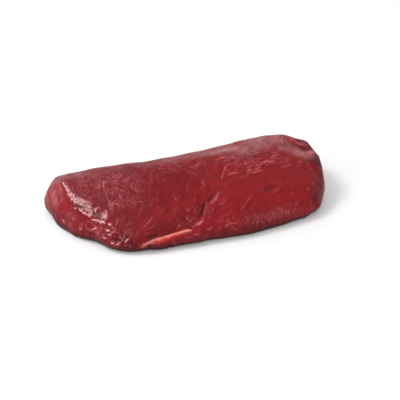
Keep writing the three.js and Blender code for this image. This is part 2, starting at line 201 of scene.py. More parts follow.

# Lines that stand out: half width and height in tenths of a millimetre, tone in hundredths, below 0 for dark
# and above for pale, and pixels. Several widths, heights or tones are spaced evenly from end to end.
# The palest marks also take the painted highlight colour, and many dark marks are painted shade in creases,
# hollows and gaps.
MARK_UNITS = (10, 10, 100)
MARKS = [
    # outline
    (60, (-4, -26, -18), 0, 293, 138, 301, 140, 306, 142),
    (60, (3, 17, 8), 0, 276, 136.5, 285, 137.5, 292, 139),
    (100, (8, 15, 8), 0, 248, 140, 266, 137.5, 284, 137),
    (80, (-8, -22, -8), 0, 198, 152, 214, 148, 238, 143),
    (80, (14, 32, 15, 12), 0, 312, 151, 316, 157, 321, 172, 323, 190),
    (60, (14, -2, 22, 8), 0, 304, 216, 314, 210.5, 319, 204.5, 322, 197),
    (40, 14, 0, 172, 245, 184, 242.5, 206, 238),
    (60, (16, 32, 32, 22, 10), 0, 54, 218, 59, 223, 64, 227, 70, 230, 78, 235),
    (50, (-4, 10, 9, 3), 0, 204, 240, 250, 232.5, 270, 228, 302, 217.5),
    (40, 13, 0, 154, 248, 162, 247.5, 170, 246),
    # left face and corner: the brightest marks are painted highlights on the wrinkles, and the darkest partly
    # painted shade in hollows
    (6, 1.5, 60, 71, 222.5, 71.5, 226), (9, 3, 110, 73.5, 217.5, 74.6, 219.8),
    (8, 2, 100, 64.3, 219.8, 65.8, 221.5), (6, 1.5, 45, 80, 228.5, 83, 229.3), (7, 1, 15, 69, 213, 70, 218),
    (6, 1, 30, 83.5, 224, 84.5, 227), (12, 1, 15, 52, 195, 56, 205), (10, 1, 20, 56, 193, 59, 204),
    (16, 1, 20, 60, 184, 62, 193), (8, 3, (40, 60, 100, 70), 91, 231, 93.5, 229.5, 96, 228.3, 99, 229.7),
    (8, 3, (40, 80, 120), 98, 231, 99, 232.5, 99.3, 234.5), (6, 2, 40, 101, 229, 104, 226),
    (4.5, 4, (120, 170, 130), 106.8, 231.8, 109.5, 230.4, 112.5, 231.4),
    ((6, 11, 8), 4, 160, 109.2, 225.6, 110.5, 224.6, 112, 224.2), (6, -2, -50, 107.5, 232.8, 111.5, 232.8),
    ((7, 6, 6, 5), 4, (60, 50, 100, 110), 111.3, 237.5, 112.5, 234.5, 114, 232, 115.8, 230),
    (8, 2, 60, 113, 228.2, 114, 229), (5, 4, 150, 108, 234.9, 112, 234.7),
    (12, -4, -70, 104, 229, 107.5, 228), (5.5, 5, (90, 170, 130), 104.5, 236.7, 105.5, 238.5, 107.8, 238),
    (5, 4, (150, 160, 100, 80), 112.4, 241.6, 112.8, 243.4, 114.4, 243.8, 115.2, 242.2),
    (6, -3, -70, 113, 240.3, 114, 241),
    ((5, 6, 9, 6, 6), 3, (40, 60, 110, 60, 100), 114.5, 244.5, 117, 244.8, 119.5, 243.7, 121.7, 242.2,
     124, 240.3),
    (5, 4, (100, 140, 110), 126.3, 242.7, 127.6, 240.4, 130.4, 238.2), (6, 2, 30, 88, 229.5, 92, 228),
    (17, -5, -100, 92.8, 234.2, 94.3, 233.8, 95.6, 235.6), (12, -3, -40, 100.8, 236, 102.5, 231.5),
    (18, -4, -65, 118.5, 237.5, 120, 239.5, 122, 240.5), (11, -4, -50, 122.5, 236, 124, 233),
    (9, -4, -50, 113, 236.5, 117, 235), (10, -4, -50, 104, 240.5, 109, 244.5),
    (12, -3, -70, 136.6, 245.5, 138.2, 247.4), (10, -2, -40, 127, 235, 130.5, 232.5),
    (5, 2, 40, 118.8, 218.5, 118, 222.5, 116, 226.5), (6, -2, -25, 116, 213, 115.5, 219),
    (8, -5, (-40, -70, -75, -35, -10), 76, 204.8, 80, 206, 84, 208.6, 88, 212, 90, 214),
    (12, -5, -50, 93.5, 208, 94.5, 213, 97, 217), (15, -4, -35, 99.5, 209, 101.5, 213, 100.5, 217),
    # valley and mottled top
    ((14, 18, 18, 14), -3, -14, 102.5, 190, 105.5, 195.5, 108, 202, 110, 209),
    ((10, 12, 10, 8, 7, 7, 12, 14, 14), (3, 3, 3, 2, 1.5, 1, 1, 1, 0), (20, 35, 35, 18, 15, 18, 16, 12, 5),
     107.5, 181, 104, 183.5, 103.5, 186, 105.5, 189.5, 107.7, 193, 108.7, 198, 111, 203, 112.5, 208,
     113, 214),
    (10, -4, -80, 111.2, 196, 111.5, 199.5), (7, 2, 35, 99, 186, 101, 189), (6, 1.5, 30, 90, 199, 93, 197),
    (6, 2.5, 45, 130, 177.5, 128, 180, 126, 182), (5, 2, 40, 125, 178.5, 129, 181),
    (5, 2, 30, 133, 177, 135, 179.5), (5, 1.5, 30, 122, 174, 123, 178), (5, 2, 30, 138, 182, 139.5, 186),
    (5, 2.5, 35, 120, 193, 121.5, 199, 123, 195), (5, 3, 55, 117, 203, 120, 206.3),
    (5, 2, 40, 116, 205, 114.5, 202), (5, 2, 25, 129.5, 191, 128.5, 198), (6, -2, -40, 118, 193, 119, 196),
    (10, -2, -40, 119, 171, 123, 172.5), (7, -2, -40, 96, 178, 98, 180),
    (5, 1.5, 30, 113.5, 172, 113.8, 178),
    # middle
    (6, 1.5, 30, 150, 171.5, 156, 170.5), (5, 1, 25, 155, 168.5, 165, 169),
    (5, 1.5, 35, 174, 163, 182, 168), (5, 1, 30, 168, 168, 174, 169), (5, 1, 15, 186, 170, 195, 173.5),
    (7, 2, 40, 193, 166.8, 197, 165.7, 201, 163), (7, 1, 15, 152, 173, 152.5, 183),
    (6, 1, 15, 158, 175, 159.5, 184), (6, 1, 15, 188.3, 183, 188.5, 191),
    (6, 2, 28, 203.3, 180, 204, 183.5, 206.5, 187), (7, 1, 30, 202.5, 188.8, 204, 189),
    (8, 2, 60, 176, 198.6, 176.6, 199.5), (6, 1, 25, 174.8, 192.5, 175.5, 196),
    (9, -1, -15, 170, 199, 166, 208), (6, 1.5, 30, 186, 208, 189, 211, 190.5, 209),
    (5, 1.5, 30, 195.5, 208, 196.5, 213), (6, 2, 35, 187, 219.5, 190, 216),
    (6, 1.5, 25, 190, 223, 194, 219.5), (6, 2, 35, 140.5, 202.4, 144, 201),
    (10, -1.5, -25, 150, 199, 158, 201.5),
    # diagonal lines left of the flap
    (5, 2, (25, 35, 20, 15, 10), 153.5, 217, 150, 222, 145, 227, 139, 232, 131, 240),
    (5, 1, 20, 150, 229, 156, 225.5), (5, 1, 15, 142, 231, 150, 228.5), (5, 1, 15, 141, 235, 150, 233),
    (5, 1.5, 25, 126, 226, 133, 223), (12, -3, -50, 136, 246.5, 137.5, 247.5),
    # flap: the dark lines above its edge and along its foot are painted shadow, and its palest marks painted
    # highlights
    (8, 2, 30, 178.5, 227.5, 180.5, 225.7, 182.5, 227.3), (16, -3, -75, 149, 237.8, 153.5, 236, 159, 234.5),
    (11, -2, -45, 164, 232.5, 171, 229.7, 178, 227.5),
    (15, -4, -90, 147.5, 247.7, 150.3, 246, 152.5, 247.2), (6, 2, 90, 143.5, 248, 144.5, 243.5),
    ((8, 13, 13, 10, 8), -6, (-90, -100, -100, -100, -80), 168, 246, 172, 244.8, 177, 244, 184, 242.5,
     192, 241),
    (6, 2, 70, 174.5, 243.7, 177, 243.4), (6, 2, 90, 168, 235.5, 169.5, 237.2, 171.3, 235),
    (7, 2, 60, 184.5, 230.4, 188.5, 230), (7, -4, -50, 145, 247, 143.5, 244.5),
    (6, -3, -30, 152, 243, 157, 241), (10, -4, -40, 176, 236, 178, 240), (5, 1, 25, 186, 237.3, 192, 237),
    (10, -2, -25, 184, 232.5, 192, 233), (5, 1.5, 30, 195, 235, 200, 234),
    # seam, from its upper end to the flap: painted shade down its crack, and painted highlights on its pale
    # lips
    ((5, 8, 10, 12, 9, 12, 13, 13, 12, 11, 8, 7, 8, 9),
     (-2, -3, -5, -7, -5, -8, -10, -10, -8, -6, -5, -4, -5, -5),
     (-30, -50, -65, -75, -50, -85, -95, -95, -65, -50, -60, -45, -65, -75), 217.5, 190, 215, 193.5,
     212.5, 197, 210, 199.3, 208, 201.5, 205.5, 204.5, 204.2, 208, 203.5, 211.5, 202.3, 215, 200.5, 218,
     198, 220.7, 195, 223.7, 192, 227, 190, 229.3),
    (6, (2, 4, 4, 3, 2), (30, 80, 90, 50, 20), 208.5, 201.5, 207.3, 203.5, 206.3, 207, 205.3, 211,
     204.5, 215),
    ((9, 8, 12, 10, 8), (4, 2, 4, 3, 3), (60, 25, 60, 35, 40), 219.5, 192.5, 218.5, 195, 216.3, 199,
     213.5, 201.8, 211, 203.3),
    (10, 1, 15, 224, 199, 225, 201), (6, 1, 30, 208.5, 212.3, 212.5, 212, 213.5, 210.5, 214.5, 208.5),
    ((7, 7, 7, 7, 7, 6, 6, 6), (-3, -5, -6, -5, -4, -3, -2, -1), (-40, -55, -70, -60, -55, -40, -30, -15),
     209, 214, 213, 212.8, 216, 210.3, 218, 208.2, 222, 206, 225, 204.3, 229, 202.3, 235, 200.5),
    (5, 2, 30, 220, 205.3, 223, 203.6, 226, 202), (6, -1.5, -50, 228, 212.5, 232, 212),
    (6, -1, -20, 229, 207.5, 229.5, 211),
    ((7, 8, 10, 10, 7), (3, 4, 6, 6, 5), (40, 40, 110, 80, 90), 193, 227, 196, 225.8, 199, 224, 201.5, 223,
     204.3, 220),
    # lower front, right of the seam
    (7, 2, 35, 231, 223.5, 237, 223), (8, 3, 55, 227, 227, 229, 224.5), (7, 2, 40, 228.3, 221, 228.7, 222),
    (9, 2, 45, 208, 229.2, 212, 229), (8, 2, 30, 216.3, 231, 217, 231), (10, 1, 20, 232, 227, 236, 229),
    (9, 1.5, 20, 253.5, 223.5, 255, 221.5, 256.5, 219), (9, 1, 10, 258.3, 224, 259.5, 218),
    (7, 1, 15, 261.5, 220.5, 265, 224), (8, 1.5, 25, 268, 219, 270, 219.8, 271.5, 217),
    (6, 0.5, 10, 267.5, 214.5, 270, 209), (9, 1, 12, 274, 217.5, 275.3, 211),
    (7, 1, 20, 280, 216.3, 283, 217), (10, 0.5, 8, 283, 215, 283.5, 207),
    (10, 0.5, 8, 287.3, 214.5, 287, 208), (5, 1.5, 25, 251.5, 196.5, 248, 201, 245, 206, 242, 210),
    # short crease, with a painted highlight at its lower end and painted shade beside it, and lines above
    ((7, 7, 8, 11, 6), 3.5, (100, 50, 15, 30, 40), 222.5, 178.5, 222.8, 176.5, 224, 173, 225.8, 169.5,
     226.5, 166),
    (6, -3, -35, 221.3, 172, 222, 178), (11, 3, 45, 229.5, 175, 233, 173.5, 238, 173),
    (6, 1.5, 20, 243, 178, 248, 176.6), (5, 1, 20, 243, 168, 247, 163),
    (5, 1.5, 25, 236, 171.5, 238.5, 167), (6, 2.5, 70, 248.3, 167.6, 252, 166.3),
    (7, 3, 80, 248.3, 170.9, 252, 169), (6, 2.5, 60, 252, 173.3, 257, 171.8, 264, 170.6),
    (5, 2, 45, 256, 170, 259, 167.8, 262, 166), (6, 2.5, 55, 256, 165.8, 262, 164.3, 265, 162.5),
    (9, 3, 55, 262, 163.3, 268, 161.7, 274, 161.3), (5, 1.5, 30, 269, 163.2, 276, 161.5),
    (6, 2, 35, 272, 157.2, 279, 154.5), (7, 2, 30, 282, 167.5, 287, 166, 291.5, 164.3),
    (7, -3, -50, 251, 172, 253, 173), (6, -2, -45, 261.5, 167.3, 263, 167.5),
    (15, -1.5, -40, 250, 157, 258, 156.8), (10, -1.5, -40, 232, 160.3, 236, 160),
    (9, -1, -25, 262, 154.3, 272, 153.6), (8, -1, -30, 243, 163, 245, 167),
    (10, 2, 60, 233, 157.8, 234.3, 158), (7, 2, 55, 242, 157.4, 244.5, 157.4),
    (6, 1, 30, 220, 157.3, 229, 157.5), (6, 1, 30, 222, 160.5, 224, 161),
    (7, 1, 15, 269, 158, 280, 158.7, 292, 158.3), (8, 2, 40, 300.3, 163.5, 300.8, 161.3, 302, 161.5),
    (8, 2, 35, 304.5, 161.8, 305.5, 162.5), (6, 1, 20, 301, 166.3, 303, 165.5),
    # dimple and right end
    (13, -3, -60, 264.5, 190.3, 268, 190.8, 272.5, 190), (22, -2, -42, 265, 188.5, 273, 188),
    (18, -2, -50, 271, 186, 277.5, 185.2), (9, 2, 18, 273, 192.3, 277, 191, 279.5, 188.5),
    (8, -2, -50, 285.6, 177.5, 286, 179), (9, -1, -15, 286, 180, 287, 187, 287.5, 192),
    (6, -1, -25, 257, 184, 259.5, 184), (18, -1, -15, 294, 168, 294.5, 178), (6, 1, 15, 290, 196, 294, 193),
    (10, 2, 30, 308.5, 189, 310.5, 190), (10, 2, 35, 312, 181.5, 314.5, 184),
    (9, 2, 40, 312.5, 169, 313, 171), (9, -2, -60, 312, 171.5, 315.5, 169.8),
    (22, -1, -40, 313, 193, 315.3, 198, 314, 204), (12, -3, -70, 317, 203.5, 318.3, 206),
    (12, -2, -25, 318.5, 185, 321, 189), (8, 2, 40, 319.5, 160, 321, 166, 322, 174),
    # dent and its pale band, with a painted highlight in the dent and painted shade in the notch beyond the
    # band
    (8, 2, 45, 301.5, 144, 304.5, 144.8), (9, -3, -50, 292, 146, 296, 147.5),
    (9, -2, -50, 284, 142.5, 288, 143.3),
    ((20, 30, 40, 40), 0, (0, 10, 30, 35), 290, 149.5, 296, 151.8, 302, 153.7, 312, 155.5),
    (9, 2, 50, 295.5, 149.7, 298, 150.8), (8, 2, 50, 308, 153.5, 311, 154.5),
    (17, -3, -120, 314.5, 156, 317.5, 159.5), (11, -2, -50, 317, 161, 318.5, 166),
    (8, 1, 30, 292, 153, 293, 155),
]

# Lines strewn by rule: pixels through the zone (none is the whole skin), its reach, the spread about the
# fibres in degrees, and one or two kinds: count, lengths, half width and height in millimetres, tone up to 1.
STREWN = [
    (None, 0, 14, (160, (4, 12), 0.55, 0.03, 0.05), (120, (3, 9), 0.8, -0.04, -0.1)),
    ((74, 197, 88, 207), 4, 60, (30, (1.5, 4), 0.5, -0.15, -0.6)),
    ((97, 213, 103, 218), 3.5, 60, (20, (1.5, 3), 0.5, -0.15, -0.5), (14, (1.5, 3), 0.5, 0.15, 0.7)),
    ((88, 182, 132, 188), 14, 70, (60, (2, 5), 0.5, 0.1, 0.2), (50, (2, 5), 0.6, -0.1, -0.2)),
    ((86, 228, 104, 236), 4, 70, (12, (1.5, 4), 0.5, 0.2, 0.32)),
    ((102, 229, 124, 243), 7, 70, (40, (2, 5), 0.45, 0.3, 0.42), (40, (2, 4), 0.7, -0.3, -0.5)),
    ((70, 214, 84, 226), 6, 60, (12, (1, 2.5), 0.5, 0.2, 0.4)),
    ((232, 165, 275, 160), 9, 12, (60, (3, 9), 0.45, 0.1, 0.3), (40, (3, 8), 0.5, -0.1, -0.3)),
    ((225, 152, 280, 141), 9, 8, (90, (4, 12), 0.5, 0.08, 0.33), (70, (3, 9), 0.5, -0.08, -0.35)),
    ((150, 168, 220, 158), 8, 14, (50, (3, 8), 0.45, 0.08, 0.2)),
    ((282, 139, 291, 145), 4, 60, (24, (1, 3), 0.5, 0.1, 0.45), (24, (1, 3), 0.5, -0.15, -0.6)),
    ((291, 140, 306, 144), 2.5, 20, (16, (2, 5), 0.5, 0.1, 0.3)),
    ((255, 220, 296, 210), 4, 25, (36, (2, 5), 0.6, 0.15, 0.22), (30, (2, 5), 0.6, -0.15, -0.3)),
    ((311, 165, 315, 205), 6, 40, (24, (2, 5), 0.5, 0.1, 0.16), (24, (2, 5), 0.5, -0.1, -0.3)),
    ((53, 186, 57, 202), 6, 12, (36, (3, 8), 0.5, 0.12, 0.42)),
    ((54, 186, 60, 206), 7, 12, (24, (3, 7), 0.5, -0.1, -0.35)),
    ((203, 224, 245, 226), 7, 35, (30, (2, 5), 0.5, 0.12, 0.2), (30, (2, 5), 0.5, -0.12, -0.3)),
    ((150, 203, 192, 214), 12, 40, (50, (2, 6), 0.5, 0.08, 0.14), (50, (2, 6), 0.5, -0.08, -0.2)),
    ((110, 173, 205, 170), 7, 12, (50, (3, 8), 0.45, 0.05, 0.18), (50, (3, 8), 0.45, -0.05, -0.25)),
]

SEED = 7


# Plan grid

def closed_curve(points, t):
    """Places on a smooth closed curve, counted along its points."""
    points = np.asarray(points, float)
    i = np.floor(t).astype(int)
    f = (t - i)[:, None]
    p0, p1, p2, p3 = (points[(i + k) % len(points)] for k in (-1, 0, 1, 2))
    bend = 2 * p0 - 5 * p1 + 4 * p2 - p3
    twist = -p0 + 3 * p1 - 3 * p2 + p3
    return 0.5 * (2 * p1 + (p2 - p0) * f + bend * f**2 + twist * f**3)


def spaced(count, share):
    """0 to 1 in even steps in the middle, and closer together over a share at each end."""
    t = np.linspace(0, 1, count + 1)
    from_end = np.minimum(t, 1 - t)
    grown = np.where(from_end < share, from_end**2 / (2 * share), from_end - share / 2)
    total = 1 - share
    return np.where(t <= 0.5, grown, total - grown) / total


def plan_grid():
    across, deep = spaced(CELLS_X, CLOSE_ENDS), spaced(CELLS_Y, CLOSE_SIDES)

    def between(start, end, s):
        return closed_curve(OUTLINE, start + (end - start) * s)

    front = between(CORNER["front_left"], CORNER["front_right"] + len(OUTLINE), across)
    back = between(CORNER["back_left"], CORNER["back_right"], across)
    left = between(CORNER["front_left"], CORNER["back_left"], deep)
    right = between(CORNER["front_right"], CORNER["back_right"], deep)
    a, b = across[:, None, None], deep[None, :, None]
    ruled = (1 - b) * front[:, None] + b * back[:, None] + (1 - a) * left[None] + a * right[None]
    near = (1 - b) * ((1 - a) * front[0] + a * front[-1])
    far = b * ((1 - a) * back[0] + a * back[-1])
    return ruled - near - far


# Base form

def rim_field(plan):
    """Distance to the rim, and the outward direction as a mean over the near stretches of it."""
    ring = closed_curve(OUTLINE, np.arange(0, len(OUTLINE), RIM_STEP))
    run = np.roll(ring, -1, axis=0) - ring
    flat = plan.reshape(-1, 2)
    nearest = np.full(len(flat), np.inf)
    outward = np.zeros_like(flat)
    for start, step in zip(ring, run):
        off = flat - start
        s = np.clip((off @ step) / (step @ step), 0, 1)
        distance = np.linalg.norm(off - s[:, None] * step, axis=1)
        nearest = np.minimum(nearest, distance)
        weight = 1 / (distance + RIM_BLEND) ** 4
        outward += weight[:, None] * np.array([step[1], -step[0]])
    outward /= np.linalg.norm(outward, axis=1)[:, None]
    return nearest.reshape(plan.shape[:-1]), outward.reshape(plan.shape)


def along(x, values):
    """A smooth curve through values at the stations, with no overshoot."""
    stations, values = np.asarray(STATION_X, float), np.asarray(values, float)
    slopes = np.diff(values) / np.diff(stations)
    before, after = slopes[:-1], slopes[1:]
    product = before * after
    inner = np.where(product > 0, 2 * product / np.where(product > 0, before + after, 1), 0)
    tangents = np.concatenate([[0], inner, [0]])
    at = np.clip(x, stations[0], stations[-1])
    i = np.clip(np.searchsorted(stations, at, side="right") - 1, 0, len(slopes) - 1)
    span = stations[i + 1] - stations[i]
    f = (at - stations[i]) / span
    rise = values[i + 1] - values[i]
    m0, m1 = tangents[i] * span, tangents[i + 1] * span
    return values[i] + m0 * f + (3 * rise - 2 * m0 - m1) * f**2 + (m0 + m1 - 2 * rise) * f**3


def top_height(plan):
    x, y = plan[..., 0], plan[..., 1]
    crown_y = along(x, CROWN_Y)
    front = np.maximum(0, (crown_y - y) / FRONT_SPAN) ** FRONT_CURVE
    back = np.maximum(0, (y - crown_y) / BACK_SPAN) ** BACK_CURVE
    return along(x, CROWN_HEIGHT) - along(x, FRONT_DROP) * front - along(x, BACK_DROP) * back


def smooth_min(a, b, softness):
    h = np.clip(0.5 + 0.5 * (b - a) / softness, 0, 1)
    return b * (1 - h) + a * h - softness * h * (1 - h)


def skin_heights(plan):
    """Heights over the plan grid."""
    distance, out = rim_field(plan)
    out_x, out_y = out[..., 0], out[..., 1]
    share = {
        "front": np.maximum(0, -out_y) ** 2, "back": np.maximum(0, out_y) ** 2,
        "left": np.maximum(0, -out_x) ** 2, "right": np.maximum(0, out_x) ** 2,
    }

    def mixed(table):
        return sum(share[side] * table[side] for side in SIDES)

    flatter = share["left"] * (1 - np.clip((plan[..., 1] - CUT_FROM_Y) / CUT_OVER_Y, 0, 1))
    slope = mixed(SLOPE) - CUT_SLOPE_LOSS * flatter
    soft = mixed(SOFT) + CUT_SOFT_GAIN * flatter
    level = mixed(LEVEL)
    wall = level + slope * distance + mixed(BOW) * np.sqrt(distance)
    height = np.minimum(smooth_min(top_height(plan), wall, soft), wall)
    for edge in (np.s_[0, :], np.s_[-1, :], np.s_[:, 0], np.s_[:, -1]):
        height[edge] = level[edge]
    return height


def border(grid):
    """The values around the edge of a grid, in order."""
    return np.concatenate([grid[:-1, 0], grid[-1, :-1], grid[::-1, -1][:-1], grid[0, ::-1][:-1]])


def body():
    """Points, quads and the foot ring of the closed body before its relief."""
    plan = plan_grid()
    top = np.concatenate([plan, skin_heights(plan)[..., None]], axis=-1)
    index = np.arange(top.shape[0] * top.shape[1]).reshape(top.shape[:2])
    cells = (index[:-1, :-1], index[1:, :-1], index[1:, 1:], index[:-1, 1:])
    quads = [np.stack(cells, axis=-1).reshape(-1, 4)]
    ring = border(index)
    points = [top.reshape(-1, 3)]
    rim = points[0][ring]
    run = np.roll(rim, -1, axis=0) - np.roll(rim, 1, axis=0)
    inward = np.column_stack([-run[:, 1], run[:, 0]])
    inward /= np.linalg.norm(inward, axis=1)[:, None]
    count = len(points[0])
    for level in range(1, WALL_RINGS + 1):
        turn = level / WALL_RINGS * math.pi / 2
        inset = UNDERCUT * (1 - math.cos(turn))
        points.append(np.column_stack([rim[:, :2] + inward * inset, rim[:, 2] * (1 - math.sin(turn))]))
        lower = count + np.arange(len(ring))
        quads.append(np.stack([ring, lower, np.roll(lower, -1), np.roll(ring, -1)], axis=-1))
        ring = lower
        count += len(ring)
    return np.concatenate(points), np.concatenate(quads), ring


def point_normals(points, quads):
    corner = points[quads]
    normal = np.cross(corner[:, 2] - corner[:, 0], corner[:, 3] - corner[:, 1])
    total = np.zeros_like(points)
    for k in range(4):
        np.add.at(total, quads[:, k], normal)
    return total / (np.linalg.norm(total, axis=1)[:, None] + 1e-12)


# Camera and photograph

def view_axes():
    """The camera's right, down and ahead directions."""
    flat, steep = math.cos(CAMERA_PITCH), math.sin(CAMERA_PITCH)
    ahead = np.array((math.sin(CAMERA_TURN) * flat, math.cos(CAMERA_TURN) * flat, -steep))
    level = np.array((math.cos(CAMERA_TURN), -math.sin(CAMERA_TURN), 0.0))
    upright = np.cross(ahead, level)
    right = math.cos(CAMERA_ROLL) * level + math.sin(CAMERA_ROLL) * upright
    down = math.cos(CAMERA_ROLL) * upright - math.sin(CAMERA_ROLL) * level
    return right, down, ahead


def camera_place():
    return CAMERA_AIM - view_axes()[2] * CAMERA_DISTANCE


def to_pixels(points):
    right, down, ahead = view_axes()
    offset = points - camera_place()
    across = np.column_stack([offset @ right, offset @ down])
    return PHOTO_SIZE / 2 + FOCAL_PIXELS * across / (offset @ ahead)[:, None]


# A pixel's place is a weighted mean of so many points, and the ease keeps one of them from taking it all.
PLACE_POINTS, PLACE_EASE = 4, 0.05


class Skin:
    """The body before its relief, with its top as a grid, and where it shows in the photograph."""

    def __init__(self):
        self.points, self.quads, self.foot = body()
        self.normals = point_normals(self.points, self.quads)
        self.shape = (CELLS_X + 1, CELLS_Y + 1)
        self.count = self.shape[0] * self.shape[1]
        self.top = self.points[:self.count].reshape(*self.shape, 3)
        relieved = self.points + self.normals * main_relief(self.points, self.normals)[:, None]
        to_camera = camera_place() - relieved
        self.shown = np.flatnonzero((to_camera * self.normals).sum(1) > 0)
        self.tree = KDTree(len(self.shown))
        for k, pixel in enumerate(to_pixels(relieved[self.shown])):
            self.tree.insert((pixel[0], pixel[1], 0), k)
        self.tree.balance()

    def place(self, pixel):
        """The place on the skin that shows at a pixel of the photograph."""
        found = self.tree.find_n((pixel[0], pixel[1], 0), PLACE_POINTS)
        weight = np.array([1 / (distance + PLACE_EASE) for _, _, distance in found])
        near = self.points[self.shown[[k for _, k, _ in found]]]
        return weight @ near / weight.sum()

    def line(self, pixels):
        return np.array([self.place(pixel) for pixel in np.reshape(pixels, (-1, 2))])

    def widen(self, field):
        """A field of the top's grid, carried on down the wall."""
        return np.concatenate([field.ravel(), np.tile(border(field), WALL_RINGS)])


# Noise and fibres

# Brings the noise to about -1 to 1.
NOISE_GAIN = 1.6

# Square millimetres over which the fibres' directions blend, and millimetres from step to step along them.
FIBRE_BLEND, STRIDE = 250, 0.7

# How many cells to each side a strewn line is drawn over, and how bluntly it ends.
WINDOW, STAMP_FULLNESS = 5, 0.6


def lattice_noise(points, size, seed):
    """Smooth noise of about -1 to 1, from seeded gradients on a lattice of the given size."""
    scaled = points / size
    cell = np.floor(scaled).astype(np.int64)
    f = scaled - cell
    fade = f * f * f * (f * (f * 6 - 15) + 10)
    total = np.zeros(len(points))
    for corner in np.ndindex(2, 2, 2):
        at = cell + corner
        code = (at[:, 0] * 73856093) ^ (at[:, 1] * 19349663) ^ (at[:, 2] * 83492791) ^ (seed * 9781)
        code = ((code ^ (code >> 13)) * 1274126177) & 0x7FFFFFFF
        code ^= code >> 11
        slope = np.column_stack([(code >> shift & 511) / 255.5 - 1 for shift in (0, 9, 18)])
        weight = np.prod(np.where(corner, fade, 1 - fade), axis=1)
        total += weight * ((f - corner) * slope).sum(1)
    return total * NOISE_GAIN


def sample(field, at):
    """A grid field at fractional places of the grid."""
    low = np.minimum(at.astype(int), np.array(field.shape[:2]) - 2)
    f = at - low
    i, j = low[..., 0], low[..., 1]
    extra = (slice(None),) * f[..., 0].ndim + (None,) * (field.ndim - 2)
    fi, fj = f[..., 0][extra], f[..., 1][extra]
    near = field[i, j] * (1 - fi) + field[i + 1, j] * fi
    far = field[i, j + 1] * (1 - fi) + field[i + 1, j + 1] * fi
    return near * (1 - fj) + far * fj


def fibre_angle(skin):
    """The fibres' direction in plan over the top's grid, mixed from the stretches that show."""
    plan = skin.top[..., :2]
    total, weights = np.zeros(skin.shape), np.zeros(skin.shape)
    for pixels in FIBRES_SEEN:
        a, b = skin.line(pixels)
        angle = math.degrees(math.atan2(b[1] - a[1], b[0] - a[0]))
        angle = (angle + 45) % 180 - 45
        gap = ((plan - (a[:2] + b[:2]) / 2) ** 2).sum(-1)
        weight = 1 / (gap + FIBRE_BLEND) ** 2
        total += weight * angle
        weights += weight
    return np.radians(total / weights)


def fibre_steps(skin):
    """Steps over the grid that follow the fibres, and cross them, by one millimetre."""
    along_i, along_j = np.gradient(skin.top, axis=(0, 1))
    spread = np.maximum(along_i[..., 0] * along_j[..., 1] - along_i[..., 1] * along_j[..., 0], 1e-3)
    angle = fibre_angle(skin)
    steps = []
    for quarter in (0, math.pi / 2):
        c, s = np.cos(angle + quarter), np.sin(angle + quarter)
        i = (c * along_j[..., 1] - s * along_j[..., 0]) / spread
        j = (s * along_i[..., 0] - c * along_i[..., 1]) / spread
        length = np.linalg.norm(along_i * i[..., None] + along_j * j[..., None], axis=-1)
        steps.append(np.stack([i, j], axis=-1) / (length + 1e-6)[..., None])
    return steps


def streaked(field, steps, reach):
    """A grid field smeared along the fibres over a reach in millimetres, at unit spread."""
    shape = np.array(field.shape)
    start = np.moveaxis(np.indices(field.shape), 0, -1).astype(float)
    total = field.copy()
    count = int(reach / STRIDE)
    for way in (1, -1):
        at = start
        for k in range(count):
            at = np.clip(at + way * STRIDE * sample(steps, at), 0, shape - 1)
            total += sample(field, at) * math.cos(math.pi / 2 * (k + 1) / (count + 1)) ** 2
    total -= total.mean()
    return total / total.std()


def walked(starts, turns, lengths, steps):
    """Paths over the grid from places on it, each turned off the fibres, and their shares passed."""
    along, across = steps
    shape = np.array(along.shape[:2])
    count = int(max(lengths) / STRIDE) + 1
    at = starts.astype(float)
    c, s = np.cos(turns)[:, None], np.sin(turns)[:, None]
    path = [at]
    for _ in range(count - 1):
        at = np.clip(at + STRIDE * (c * sample(along, at) + s * sample(across, at)), 0, shape - 1)
        path.append(at)
    share = np.arange(count) * STRIDE / lengths[:, None]
    return np.stack(path, axis=1), share


def stamped(skin, paths, share, width):
    """A grid field of bell-shaped lines along the paths, each tapering to its ends."""
    alive = share < 1
    at = paths[alive]
    rise = np.sin(math.pi * np.clip(share[alive], 0, 1)) ** STAMP_FULLNESS
    centre = sample(skin.top, at)
    near = np.rint(at).astype(int)
    field = np.zeros(skin.shape)
    for step in np.ndindex(2 * WINDOW + 1, 2 * WINDOW + 1):
        i, j = np.clip(near + step - WINDOW, 0, np.array(skin.shape) - 1).T
        gap = np.linalg.norm(skin.top[i, j] - centre, axis=1)
        np.maximum.at(field, (i, j), rise * bell(gap, width))
    return field


# Relief

# Uneven fields: level, share of noise, noise size in millimetres, and seed.
TINT_NOISE, MARK_NOISE, GLEAM_NOISE = (0.75, 0.5, 7, 3), (0.85, 0.5, 2.5, 4), (1, 0.3, 3.5, 6)

# The shares of its half width between which a band of painted highlight ends.
GLEAM_EDGE = (0.3, 1.3)

# The flap's pale rim: reach below the edge, its loss from end to end, reach above, and where the rim starts.
RIM_BELOW, RIM_LOSS, RIM_ABOVE, RIM_START = 2.3, 0.6, 0.5, (0.02, 0.09)

# The painted shade in the gap above the flap: distance from the edge, reach, share of its tapering ends, and
# tone.
GAP_OFF, GAP_REACH, GAP_ENDS, GAP_TONE = 1.3, 0.8, 0.25, 0.6

# A mark is worked out over so many half widths, and fades to a share of itself over a length at its ends.
MARK_SPAN, MARK_END, MARK_END_LENGTH = 3, 0.4, 1.5


